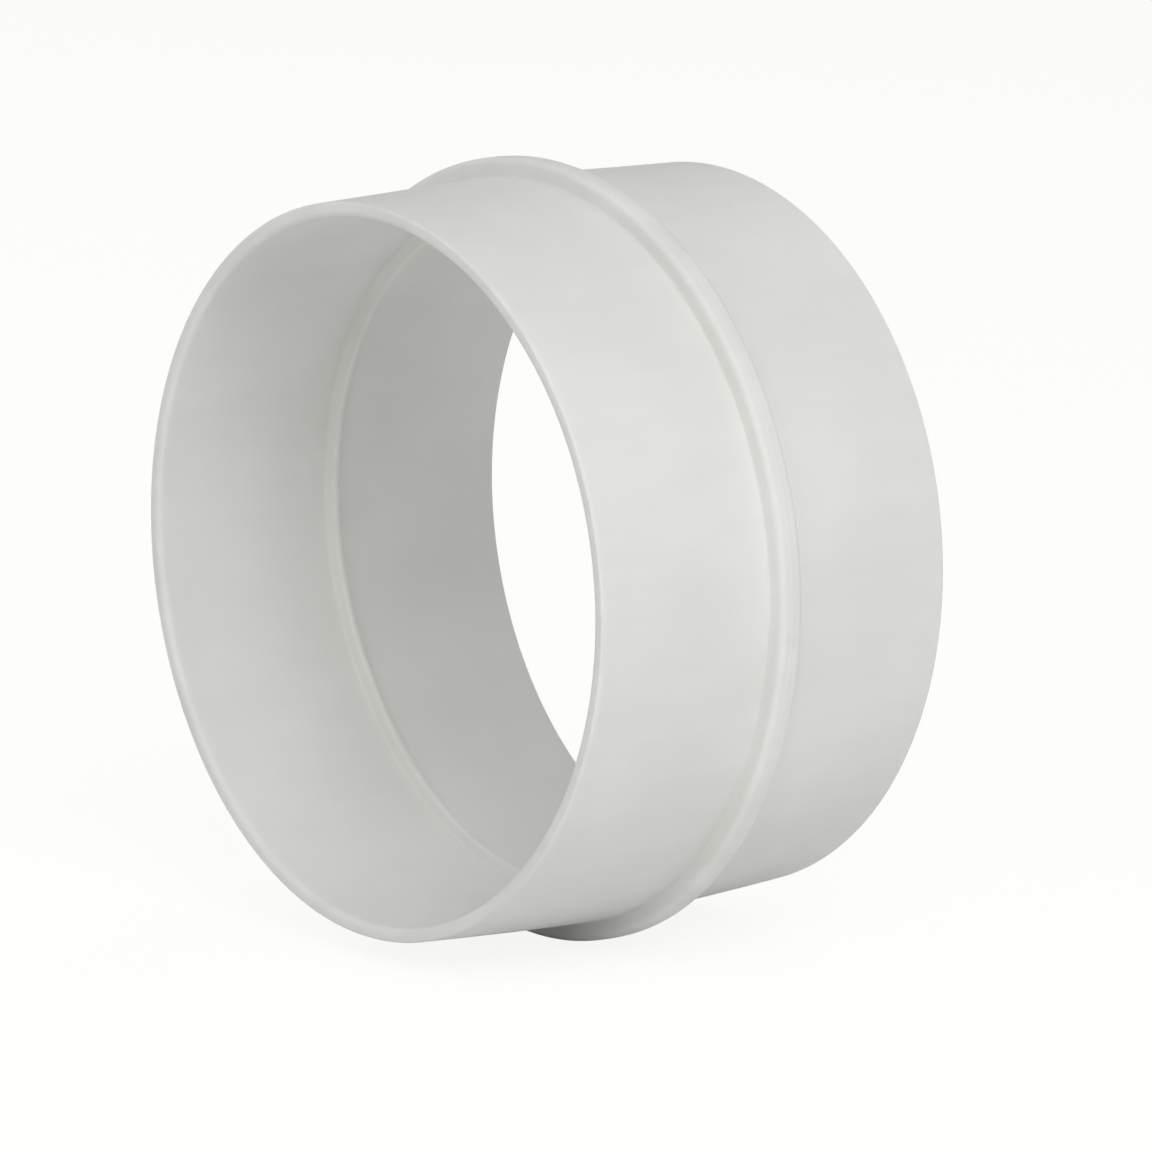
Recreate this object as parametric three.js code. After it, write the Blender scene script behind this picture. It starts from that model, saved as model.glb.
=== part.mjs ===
// Push-fit coupling for round duct: one hollow moulding, open at both ends.
//
// Units are millimetres, +Z is up, and the bore lies along +Y. The origin is on the bore's axis,
// half way along the coupling, under the middle of the collar. Both halves are mirror images.
//
//   collar   the raised band round the middle, where the ends of the two ducts stop
//   sleeves  the slightly tapered tubes each side of it, which push into the ducts
//   rims     the thin rounded edges of the two mouths
//   rib      the low ring inside the bore, opposite the collar

import * as THREE from 'three';

// Driving dimensions
const LENGTH = 58.2;         // mouth to mouth, along Y
const ROOT_RADIUS = 49.4;    // outside of a sleeve at the collar, loose in a duct of 100 mm bore
const RIM_RADIUS = 48.5;     // outside of a sleeve at its mouth
const RIM_WALL = 1.9;        // wall thickness at a mouth
const BORE_DRAFT = 0.3;      // how much the bore closes in, on the radius, from mouth to rib
const COLLAR_HEIGHT = 2.6;   // collar above the sleeve, a little over a duct's wall
const COLLAR_WIDTH = 3.6;    // between the two stop faces of the collar
const RIB_HEIGHT = 1.8;      // rib above the bore
const RIB_FOOT_WIDTH = 1.4;  // rib where it leaves the bore
const RIB_CREST_WIDTH = 0.9; // rib at its crest

// Rounding radii
const RIM_OUTER_ROUND = 0.35;
const RIM_INNER_ROUND = 0.9;
const COLLAR_ROUND = 0.9;
const COLLAR_FILLET = 0.25;
const RIB_ROUND = 0.35;
const RIB_FILLET = 0.3;

// Fineness of the faceted solid
const SIDES = 72;
const ARC_STEPS = 2;

// A corner of the wall's section: radius from the axis, place along the axis, and rounding.
function corner(radius, along, round) {
  return { at: new THREE.Vector2(radius, along), round };
}

// Corners of the +Y half of the section, from the collar's crest over the mouth to the rib's crest.
function halfSection() {
  const mouth = LENGTH / 2;
  const mouthBore = RIM_RADIUS - RIM_WALL;
  const midBore = mouthBore - BORE_DRAFT;
  const stop = COLLAR_WIDTH / 2;
  return [
    corner(ROOT_RADIUS + COLLAR_HEIGHT, stop, COLLAR_ROUND),
    corner(ROOT_RADIUS, stop, COLLAR_FILLET),
    corner(RIM_RADIUS, mouth, RIM_OUTER_ROUND),
    corner(mouthBore, mouth, RIM_INNER_ROUND),
    corner(midBore, RIB_FOOT_WIDTH / 2, RIB_FILLET),
    corner(midBore - RIB_HEIGHT, RIB_CREST_WIDTH / 2, RIB_ROUND),
  ];
}

// The same corner in the -Y half.
function mirrored({ at, round }) {
  return corner(at.x, -at.y, round);
}

// Points of the circular arc that rounds one corner and touches both of its edges.
function roundedCorner(before, { at, round }, after) {
  const toBefore = before.at.clone().sub(at).normalize();
  const toAfter = after.at.clone().sub(at).normalize();
  const halfAngle = Math.acos(toBefore.dot(toAfter)) / 2;
  const inward = toBefore.clone().add(toAfter).normalize();
  const centre = at.clone().addScaledVector(inward, round / Math.sin(halfAngle));
  const reach = round / Math.tan(halfAngle);
  const start = at.clone().addScaledVector(toBefore, reach).sub(centre);
  const end = at.clone().addScaledVector(toAfter, reach).sub(centre);
  const turn = Math.atan2(start.cross(end), start.dot(end));
  const points = [];
  for (let i = 0; i <= ARC_STEPS; i++) {
    const spoke = start.clone().rotateAround(new THREE.Vector2(), turn * i / ARC_STEPS);
    points.push(spoke.add(centre));
  }
  return points;
}

// The closed outline of the wall, anticlockwise, so that the revolved faces point out.
function wallSection() {
  const half = halfSection();
  const corners = [...half, ...half.map(mirrored).reverse()];
  const outline = corners.flatMap((c, i) => {
    const before = corners[(i + corners.length - 1) % corners.length];
    const after = corners[(i + 1) % corners.length];
    return roundedCorner(before, c, after);
  });
  outline.push(outline[0].clone());
  return outline;
}

// White rigid plastic with a satin surface.
function whitePlastic() {
  return new THREE.MeshStandardMaterial({ color: 0xe6e7e4, roughness: 0.5, metalness: 0.0 });
}

// The whole coupling: sleeves, collar, rims and rib in one moulding.
function couplingBody() {
  const body = new THREE.Mesh(new THREE.LatheGeometry(wallSection(), SIDES), whitePlastic());
  body.name = 'coupling_body';
  return body;
}

const coupling = new THREE.Group();
coupling.add(couplingBody());

export default coupling;
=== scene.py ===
"""Push-fit coupling for round duct, moulded in one piece from white plastic.

The coupling lies with its bore along +Y and rests on its collar. The moulding is built here as a
fine mesh: one section of the wall, with every edge rounded, is turned round the bore. Small
departures from a perfect turning are then added, as a real moulding has them: mouths a little out
of round, a slow waviness, the seam of the mould on the collar and a pin mark inside the bore.
"""

import math

import bpy
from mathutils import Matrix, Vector, noise


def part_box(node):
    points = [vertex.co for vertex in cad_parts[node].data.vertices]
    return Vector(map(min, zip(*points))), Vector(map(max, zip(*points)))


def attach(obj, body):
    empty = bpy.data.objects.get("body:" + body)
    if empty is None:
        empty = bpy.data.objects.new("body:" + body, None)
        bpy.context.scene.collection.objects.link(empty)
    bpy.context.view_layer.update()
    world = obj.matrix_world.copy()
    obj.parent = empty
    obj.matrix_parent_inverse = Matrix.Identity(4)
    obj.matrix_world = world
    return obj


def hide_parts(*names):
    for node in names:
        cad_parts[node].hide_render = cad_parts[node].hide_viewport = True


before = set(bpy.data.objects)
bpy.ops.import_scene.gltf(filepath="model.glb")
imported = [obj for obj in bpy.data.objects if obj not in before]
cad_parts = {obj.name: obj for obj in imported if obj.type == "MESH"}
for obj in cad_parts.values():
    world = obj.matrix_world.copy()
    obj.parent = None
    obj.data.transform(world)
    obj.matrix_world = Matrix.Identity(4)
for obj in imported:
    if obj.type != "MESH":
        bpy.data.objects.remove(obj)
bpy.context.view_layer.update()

MM = 0.001
NODE = "coupling_body"
SLOT = "white_plastic"

# The wall's section, in millimetres
COLLAR_HEIGHT = 2.6             # the collar above a sleeve
COLLAR_HALF_WIDTH = 1.8
SLEEVE_TAPER = 0.9              # how much a sleeve narrows, on the radius, from collar to mouth
RIM_WALL = 1.9
BORE_DRAFT = 0.3                # how much the bore closes in, on the radius, from mouth to rib
RIB_HEIGHT = 1.8
RIB_FOOT_HALF_WIDTH = 0.7
RIB_CREST_HALF_WIDTH = 0.45

# Places that follow from the corner of the frame's box and from these sizes
CAD_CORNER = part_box(NODE)[1]
MOUTH = CAD_CORNER.y / MM       # from the collar's middle to a mouth, along Y
COLLAR_RADIUS = CAD_CORNER.z / MM
ROOT_RADIUS = COLLAR_RADIUS - COLLAR_HEIGHT
RIM_RADIUS = ROOT_RADIUS - SLEEVE_TAPER
MOUTH_BORE = RIM_RADIUS - RIM_WALL
MID_BORE = MOUTH_BORE - BORE_DRAFT
RIB_RADIUS = MID_BORE - RIB_HEIGHT
MID_RIM = (RIM_RADIUS + MOUTH_BORE) / 2

# Rounding radii
COLLAR_ROUND = 0.9
COLLAR_FILLET = 0.25
RIM_OUTER_ROUND = 0.35
RIM_INNER_ROUND = 0.9
RIB_ROUND = 0.35
RIB_FILLET = 0.3

# The mould's seam, a fine raised line round the collar's crest
SEAM_HEIGHT = 0.03
SEAM_HALF_WIDTH = 0.2
SEAM_ROUND = 0.1

# Out of round, as sums of waves: how many lobes, how far they stand out, and the angle of one of
# them. Angles run round the bore from +X towards +Z.
FRONT_MOUTH_SHAPE = ((2, 0.32, math.radians(99)), (3, 0.27, math.radians(16)))
COLLAR_SHAPE = ((2, 0.7, math.radians(122)), (3, 0.25, math.radians(37)))
BACK_MOUTH_SHAPE = ((2, 0.5, math.radians(95)),)

# Waviness of the wall: height, and waves per radius of the sleeve
WAVES = ((0.03, 2.5), (0.012, 9.0))

# The round witness mark of one ejector pin, on the lower wall of the bore. PIN_EDGE is how far its
# soft edge reaches to each side of its radius.
PIN_ANGLE = math.radians(-113.4)
PIN_ALONG = 7.0
PIN_RADIUS = 1.4
PIN_HEIGHT = 0.2
PIN_EDGE = 0.4

# Fineness of the mesh: steps round the bore, turn of each step of an arc, length of straight steps
SIDES = 400
ARC_STEP = math.radians(15.0)
RUN_STEP = 0.8


# ---------------------------------------------------------------- section of the wall

def half_section():
    """Corners on the +Y side, from the seam over the mouth to the rib: radius, along, rounding."""
    return [
        (COLLAR_RADIUS + SEAM_HEIGHT, SEAM_HALF_WIDTH / 2, SEAM_ROUND),
        (COLLAR_RADIUS, SEAM_HALF_WIDTH, SEAM_ROUND),
        (COLLAR_RADIUS, COLLAR_HALF_WIDTH, COLLAR_ROUND),
        (ROOT_RADIUS, COLLAR_HALF_WIDTH, COLLAR_FILLET),
        (RIM_RADIUS, MOUTH, RIM_OUTER_ROUND),
        (MOUTH_BORE, MOUTH, RIM_INNER_ROUND),
        (MID_BORE, RIB_FOOT_HALF_WIDTH, RIB_FILLET),
        (RIB_RADIUS, RIB_CREST_HALF_WIDTH, RIB_ROUND),
    ]


def rounded_corner(before, at, after, radius):
    """Points of the arc that rounds the corner at, and touches the edges to before and after."""
    to_before = (before - at).normalized()
    to_after = (after - at).normalized()
    half_angle = to_before.angle(to_after) / 2
    centre = at + (to_before + to_after).normalized() * (radius / math.sin(half_angle))
    reach = radius / math.tan(half_angle)
    start = at + to_before * reach - centre
    end = at + to_after * reach - centre
    turn = -start.angle_signed(end)
    steps = max(1, math.ceil(abs(turn) / ARC_STEP))
    points = []
    for i in range(steps + 1):
        c, s = math.cos(turn * i / steps), math.sin(turn * i / steps)
        points.append(centre + Vector((start.x * c - start.y * s, start.x * s + start.y * c)))
    return points


def run_between(a, b):
    """Points that divide the straight run from a to b, without its ends."""
    parts = max(1, math.ceil((b - a).length / RUN_STEP))
    return [a.lerp(b, i / parts) for i in range(1, parts)]


def wall_section():
    """The closed outline of the wall, anticlockwise, with long straight runs divided."""
    half = half_section()
    corners = half + [(radius, -along, rounding) for radius, along, rounding in reversed(half)]
    at = [Vector((radius, along)) for radius, along, _ in corners]
    outline = []
    for i, (_, _, rounding) in enumerate(corners):
        arc = rounded_corner(at[i - 1], at[i], at[(i + 1) % len(corners)], rounding)
        if outline:
            outline += run_between(outline[-1], arc[0])
        outline += arc
    return outline + run_between(outline[-1], outline[0])


# ---------------------------------------------------------------- moulding

def smooth_step(low, high, value):
    """0 at low and beyond it, 1 at high and beyond it, and an even curve between."""
    t = min(1.0, max(0.0, (value - low) / (high - low)))
    return t * t * (3.0 - 2.0 * t)


def lobes(shape, angle):
    """How far a shape that is out of round stands out at an angle."""
    return sum(height * math.cos(count * (angle - peak)) for count, height, peak in shape)


def out_of_round(along, angle):
    """The mouths and the collar each have their own shape, and the sleeves blend them."""
    mouth_share = (along / MOUTH) ** 2
    mouth_shape = BACK_MOUTH_SHAPE if along > 0 else FRONT_MOUTH_SHAPE
    return mouth_share * lobes(mouth_shape, angle) + (1 - mouth_share) * lobes(COLLAR_SHAPE, angle)


def waviness(along, angle):
    spot = Vector((math.cos(angle), along / ROOT_RADIUS, math.sin(angle)))
    return sum(height * noise.noise(spot * count) for height, count in WAVES)


def pin_mark(along, angle):
    """How far the pin mark stands into the bore."""
    turn = (angle - PIN_ANGLE + math.pi) % math.tau - math.pi
    from_centre = math.hypot(along - PIN_ALONG, turn * MID_BORE)
    return PIN_HEIGHT * smooth_step(PIN_RADIUS + PIN_EDGE, PIN_RADIUS - PIN_EDGE, from_centre)


def moulded_radius(radius, along, angle):
    """The radius at a point of the wall, with the small errors of a real moulding."""
    moulded = radius + out_of_round(along, angle) + waviness(along, angle)
    if radius < MID_RIM:
        moulded -= pin_mark(along, angle)
    return moulded


def moulding():
    """The whole coupling as one closed mesh."""
    outline = wall_section()
    rows = len(outline)
    vertices = []
    for k in range(SIDES):
        angle = math.tau * k / SIDES
        for point in outline:
            r = moulded_radius(point.x, point.y, angle)
            vertices.append((r * math.cos(angle) * MM, point.y * MM, r * math.sin(angle) * MM))
    faces = []
    for k in range(SIDES):
        here, there = k * rows, (k + 1) % SIDES * rows
        for i in range(rows):
            j = (i + 1) % rows
            faces.append((here + i, here + j, there + j, there + i))
    mesh = bpy.data.meshes.new("coupling_moulding")
    mesh.from_pydata(vertices, [], faces)
    mesh.validate()
    mesh.shade_smooth()
    body = bpy.data.objects.new("coupling_moulding", mesh)
    bpy.context.scene.collection.objects.link(body)
    return body


# ---------------------------------------------------------------- shader helpers

class Shader:
    """A new material, with short ways to add nodes to it."""

    def __init__(self, name):
        self.material = bpy.data.materials.new(name)
        self.material.use_nodes = True
        self.tree = self.material.node_tree
        self.surface = self.tree.nodes["Principled BSDF"]

    def put(self, value, socket):
        """Link a node's output to a socket, or set the socket to a plain value."""
        if isinstance(value, bpy.types.NodeSocket):
            self.tree.links.new(value, socket)
        else:
            socket.default_value = value

    def finish(self, **inputs):
        """Set inputs of the surface, named with _ for each space."""
        for name, value in inputs.items():
            self.put(value, self.surface.inputs[name.replace("_", " ")])

    def math(self, operation, *values):
        made = self.tree.nodes.new("ShaderNodeMath")
        made.operation = operation
        for value, socket in zip(values, made.inputs):
            self.put(value, socket)
        return made.outputs[0]

    def ramp(self, value, low, high, out_low=0.0, out_high=1.0):
        """out_low where value is under low, out_high over high, and an even curve between."""
        made = self.tree.nodes.new("ShaderNodeMapRange")
        made.interpolation_type = "SMOOTHSTEP"
        for number, socket in zip((value, low, high, out_low, out_high), made.inputs):
            self.put(number, socket)
        return made.outputs[0]

    def noise(self, place, scale, detail):
        made = self.tree.nodes.new("ShaderNodeTexNoise")
        self.put(place, made.inputs["Vector"])
        made.inputs["Scale"].default_value = scale
        made.inputs["Detail"].default_value = detail
        return made.outputs["Fac"]

    def stretched(self, place, x, y, z):
        made = self.tree.nodes.new("ShaderNodeVectorMath")
        made.operation = "MULTIPLY"
        self.put(place, made.inputs[0])
        made.inputs[1].default_value = (x, y, z)
        return made.outputs[0]

    def blend(self, share, low, high):
        """A colour between low and high."""
        made = self.tree.nodes.new("ShaderNodeMix")
        made.data_type = "RGBA"
        self.put(share, made.inputs[0])
        self.put(low, made.inputs["A"])
        self.put(high, made.inputs["B"])
        return made.outputs["Result"]

    def bump(self, height, distance, normal=None):
        made = self.tree.nodes.new("ShaderNodeBump")
        made.inputs["Distance"].default_value = distance
        self.put(height, made.inputs["Height"])
        if normal:
            self.put(normal, made.inputs["Normal"])
        return made.outputs[0]


# ---------------------------------------------------------------- materials

PLASTIC_DARK = (0.765, 0.770, 0.742, 1.0)
PLASTIC_LIGHT = (0.815, 0.818, 0.794, 1.0)
PLASTIC_RUBBED = (0.840, 0.842, 0.828, 1.0)
PLASTIC_IOR = 1.43
SATIN = (0.62, 0.72)            # roughness of the glossiest and of the dullest flow lines
RUBBED_DULLER = 0.08            # added to the roughness where the edges are rubbed
RUBBED_SHARE = 0.7              # how far rubbed patches turn to their own colour

# Noise in the plastic: its scale per metre, and its detail
CLOUDS = (38.0, 3.0)
FLOW_LINES = (300.0, 3.0)
GRAIN = (2600.0, 2.0)
RUBBED_PATCHES = (130.0, 4.0)
FLOW_STRETCH = 0.16             # flow lines run along the bore
PATCH_EDGES = (0.42, 0.62)      # noise below this is unrubbed, and above it is rubbed
FLOW_EDGES = (0.3, 0.7)         # noise below this has the glossiest lines, and above it the dullest
COLOUR_EDGES = (0.4, 0.85)      # noise below this has the dark colour, and above it the light one
FLOW_IN_COLOUR = 0.25           # how much the flow lines show in the colour
SINK_DEPTH = 0.02 * MM
GRAIN_DEPTH = 0.004 * MM

# Light that wanders under the surface before it leaves
GLOW_SHARE = 0.15
GLOW_REACH = 1.5 * MM
GLOW_TINT = (1.0, 1.0, 0.9)

# The edges that handling rubs: how far each reaches in from the crest and from a mouth
CREST_REACH = 1.0
RIM_REACH = 1.2


def rubbed_edges(shader, place):
    """Where handling has rubbed the surface: patches of the rims and of the collar's crest."""
    split = shader.tree.nodes.new("ShaderNodeSeparateXYZ")
    shader.put(place, split.inputs[0])
    x, y, z = split.outputs
    squares = shader.math("ADD", shader.math("MULTIPLY", x, x), shader.math("MULTIPLY", z, z))
    radius = shader.math("SQRT", squares)
    crest = shader.ramp(radius, (COLLAR_RADIUS - CREST_REACH) * MM, COLLAR_RADIUS * MM)
    rim = shader.ramp(shader.math("ABSOLUTE", y), (MOUTH - RIM_REACH) * MM, MOUTH * MM)
    patches = shader.ramp(shader.noise(place, *RUBBED_PATCHES), *PATCH_EDGES)
    return shader.math("MULTIPLY", shader.math("MAXIMUM", crest, rim), patches)


def white_plastic():
    """Satin white plastic, a little uneven in colour and gloss, and rubbed along its edges."""
    shader = Shader(SLOT)
    place = shader.tree.nodes.new("ShaderNodeTexCoord").outputs["Object"]
    clouds = shader.noise(place, *CLOUDS)
    flow = shader.noise(shader.stretched(place, 1.0, FLOW_STRETCH, 1.0), *FLOW_LINES)
    grain = shader.noise(place, *GRAIN)
    rubbed = rubbed_edges(shader, place)

    mixed = shader.math("ADD", clouds, shader.math("MULTIPLY", flow, FLOW_IN_COLOUR))
    colour = shader.blend(shader.ramp(mixed, *COLOUR_EDGES), PLASTIC_DARK, PLASTIC_LIGHT)
    colour = shader.blend(shader.math("MULTIPLY", rubbed, RUBBED_SHARE), colour, PLASTIC_RUBBED)

    satin = shader.ramp(flow, *FLOW_EDGES, *SATIN)
    roughness = shader.math("ADD", satin, shader.math("MULTIPLY", rubbed, RUBBED_DULLER))

    sunk = shader.bump(clouds, SINK_DEPTH)
    shader.finish(Base_Color=colour, Roughness=roughness, Normal=shader.bump(grain, GRAIN_DEPTH, sunk),
                  IOR=PLASTIC_IOR, Subsurface_Weight=GLOW_SHARE, Subsurface_Radius=GLOW_TINT,
                  Subsurface_Scale=GLOW_REACH)
    return shader.material


# The floor as its light bounces, and as the camera sees it: a dark share plus a steady white lift
FLOOR_PAPER = (0.93, 0.93, 0.925, 1.0)
FLOOR_SEEN = (0.14, 0.14, 0.14, 1.0)
FLOOR_WHITE = (1.0, 1.0, 0.98, 1.0)
FLOOR_LIFT = 0.885
FLOOR_ROUGHNESS = 0.9
FLOOR_SHEEN = 0.1


def floor_paper():
    """Matt white paper, lifted for the camera alone so that it reads as an even white sweep."""
    shader = Shader("floor_paper")
    seen = shader.tree.nodes.new("ShaderNodeLightPath").outputs["Is Camera Ray"]
    lift = shader.math("MULTIPLY", seen, FLOOR_LIFT)
    shader.finish(Base_Color=shader.blend(seen, FLOOR_PAPER, FLOOR_SEEN), Roughness=FLOOR_ROUGHNESS,
                  Specular_IOR_Level=FLOOR_SHEEN, Emission_Color=FLOOR_WHITE, Emission_Strength=lift)
    return shader.material


# ---------------------------------------------------------------- stage, lights and camera

FLOOR_HALF_SIZE = 3.0

# Camera: it looks down on the front mouth from the right. Angles are measured as for a light.
AZIMUTH = 50.78
ELEVATION = 10.69
DISTANCE = 1.081
LENS = 253.6
SENSOR_WIDTH = 36.0
AIM_RIGHT = 4.76 * MM
AIM_DOWN = 3.86 * MM

# Square soft lights that face the coupling: name, azimuth, elevation and watts
LIGHTS = (
    ("front", 15, 38, 1.55),
    ("key", 60, 38, 4.55),
    ("side", 90, 20, 1.95),
    ("back", 200, 60, 1.2),
    ("left", 275, 15, 1.6),
)
LIGHT_DISTANCE = 1.2
LIGHT_SIZE = 0.6
ROOM_LIGHT = 0.356


def pale_floor(resting):
    """A plain pale floor that touches the lowest point of the coupling."""
    mesh = bpy.data.meshes.new("floor")
    h = FLOOR_HALF_SIZE
    z = min(vertex.co.z for vertex in resting.data.vertices)
    corners = [(-h, -h, z), (h, -h, z), (h, h, z), (-h, h, z)]
    mesh.from_pydata(corners, [], [(0, 1, 2, 3)])
    mesh.materials.append(floor_paper())
    floor = bpy.data.objects.new("floor", mesh)
    bpy.context.scene.collection.objects.link(floor)


def direction(azimuth, elevation):
    """From the origin outwards. Azimuth 0 is -Y, in front of the front mouth, and 90 is +X."""
    a, e = math.radians(azimuth), math.radians(elevation)
    return Vector((math.sin(a) * math.cos(e), -math.cos(a) * math.cos(e), math.sin(e)))


def place_facing(name, data, location, back):
    """A light or a camera whose back points along back."""
    made = bpy.data.objects.new(name, data)
    made.rotation_mode = "QUATERNION"
    made.rotation_quaternion = (-back).to_track_quat("-Z", "Y")
    made.location = location
    bpy.context.scene.collection.objects.link(made)
    return made


def soft_light(name, azimuth, elevation, watts):
    data = bpy.data.lights.new(name, "AREA")
    data.size = LIGHT_SIZE
    data.energy = watts
    back = direction(azimuth, elevation)
    place_facing(name, data, back * LIGHT_DISTANCE, back)


def studio():
    for light in LIGHTS:
        soft_light(*light)
    room = bpy.data.worlds.new("studio")
    room.use_nodes = True
    background = room.node_tree.nodes["Background"]
    background.inputs["Color"].default_value = (1.0, 1.0, 1.0, 1.0)
    background.inputs["Strength"].default_value = ROOM_LIGHT
    bpy.context.scene.world = room
    bpy.context.scene.view_settings.view_transform = "Standard"


def camera():
    back = direction(AZIMUTH, ELEVATION)
    right = direction(AZIMUTH + 90, 0)
    up = back.cross(right)
    data = bpy.data.cameras.new("camera")
    data.lens = LENS
    data.sensor_width = SENSOR_WIDTH
    location = right * AIM_RIGHT - up * AIM_DOWN + back * DISTANCE
    bpy.context.scene.camera = place_facing("camera", data, location, back)


coupling = moulding()
coupling.data.materials.append(white_plastic())
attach(coupling, "root")
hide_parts(NODE)
pale_floor(coupling)
studio()
camera()
